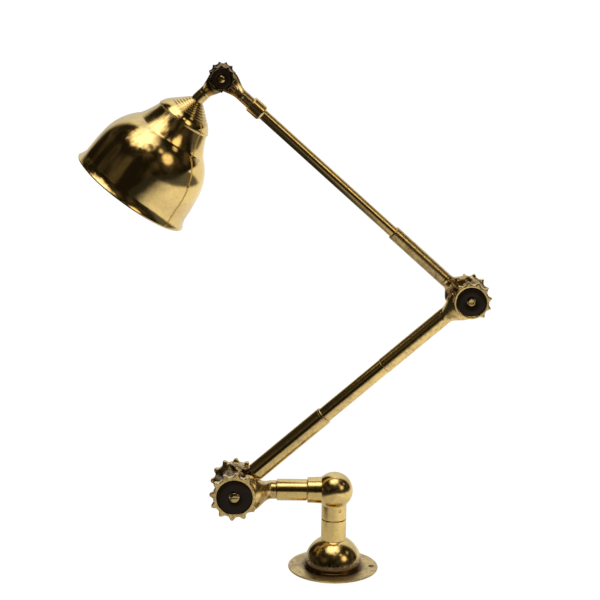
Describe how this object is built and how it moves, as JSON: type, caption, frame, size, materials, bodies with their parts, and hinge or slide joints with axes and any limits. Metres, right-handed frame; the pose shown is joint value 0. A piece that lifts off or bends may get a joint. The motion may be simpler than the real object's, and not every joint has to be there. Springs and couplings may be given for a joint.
{
  "type": "swing arm wall light",
  "caption": "Brass swing arm light with a domed flange base, a swivelling elbow, arms linked by toothed friction joints with black centres, and a bell shade.",
  "frame": {"origin": "centre of the flange, on its mounting face", "axes": "+Z leads away from the mounting face along the post, and the arms lie in the X-Z plane with the shade towards -X"},
  "size_m": [0.4886, 0.1492, 0.6214],
  "materials": {
    "cast_brass": "cast and turned brass, polished long ago, with brown tarnish in the hollows",
    "dark_brass": "cast brass, darkened by tarnish at the head joint",
    "spun_brass": "polished spun brass with fine turning lines",
    "screw_brass": "turned brass, worn",
    "black_disc": "gloss black, slightly domed",
    "fibre": "vulcanised fibre",
    "wire": "insulated wire",
    "black_holder": "moulded black lampholder",
    "ceramic": "glazed ceramic",
    "bulb_glass": "frosted glass",
    "bulb_metal": "pressed cap",
    "spring_steel": "spring steel"
  },
  "bodies": {
    "base": {"base_flange": "cast_brass", "base_dome": "cast_brass", "post_sleeve": "cast_brass", "swivel_stem": "cast_brass", "post_washer": "screw_brass", "post_nut": "screw_brass", "base_wires": "wire"},
    "stub_carrier": {"ball_elbow": "cast_brass", "swivel_grub_screw": "screw_brass", "stub_barrel": "cast_brass", "stub_nipple": "cast_brass", "stub_wires": "wire", "shoulder_front_knuckle": "cast_brass", "shoulder_front_disc": "black_disc", "shoulder_pivot_screw": "screw_brass", "shoulder_friction_washer": "fibre", "shoulder_nut_washer": "screw_brass", "shoulder_spring_washer": "spring_steel", "shoulder_cap_nut": "screw_brass"},
    "lower_arm": {"shoulder_rear_knuckle": "cast_brass", "shoulder_rear_disc": "black_disc", "lower_arm_sleeve": "cast_brass", "lower_arm_tube": "cast_brass", "lower_arm_wires": "wire", "elbow_front_knuckle": "cast_brass", "elbow_front_disc": "black_disc", "elbow_pivot_screw": "screw_brass", "elbow_friction_washer": "fibre", "elbow_nut_washer": "screw_brass", "elbow_spring_washer": "spring_steel", "elbow_cap_nut": "screw_brass"},
    "upper_arm": {"elbow_rear_knuckle": "cast_brass", "elbow_rear_disc": "black_disc", "upper_arm_tube": "cast_brass", "upper_arm_collar": "cast_brass", "upper_arm_wires": "wire", "head_rear_knuckle": "dark_brass", "head_rear_disc": "black_disc"},
    "head": {"head_front_knuckle": "dark_brass", "head_front_disc": "black_disc", "head_pivot_screw": "screw_brass", "head_friction_washer": "fibre", "head_nut_washer": "screw_brass", "head_spring_washer": "spring_steel", "head_cap_nut": "screw_brass", "shade_cap": "spun_brass", "cap_lock_nut": "screw_brass", "shade": "spun_brass", "shade_ring": "black_holder", "lampholder_cap": "cast_brass", "lampholder_skirt": "black_holder", "lampholder_insulator": "ceramic", "lampholder_screw_shell": "cast_brass", "lampholder_contact": "cast_brass", "bulb_cap": "bulb_metal", "bulb_glass": "bulb_glass"}
  },
  "joints": [
    {"name": "base_swivel", "type": "hinge", "parent": "base", "child": "stub_carrier", "pos_m": [0, 0, 0.064], "axis": [0, 0, 1], "range_deg": [-160, 160]},
    {"name": "shoulder", "type": "hinge", "parent": "stub_carrier", "child": "lower_arm", "pos_m": [-0.1213, 0, 0.0998], "axis": [0, -1, 0], "range_deg": [0, 150]},
    {"name": "elbow", "type": "hinge", "parent": "lower_arm", "child": "upper_arm", "pos_m": [0.15683, 0, 0.34457], "axis": [0, -1, 0], "range_deg": [-210, 18]},
    {"name": "head_tilt", "type": "hinge", "parent": "upper_arm", "child": "head", "pos_m": [-0.14015, 0, 0.60501], "axis": [0, -1, 0], "range_deg": [-195, 34]}
  ]
}
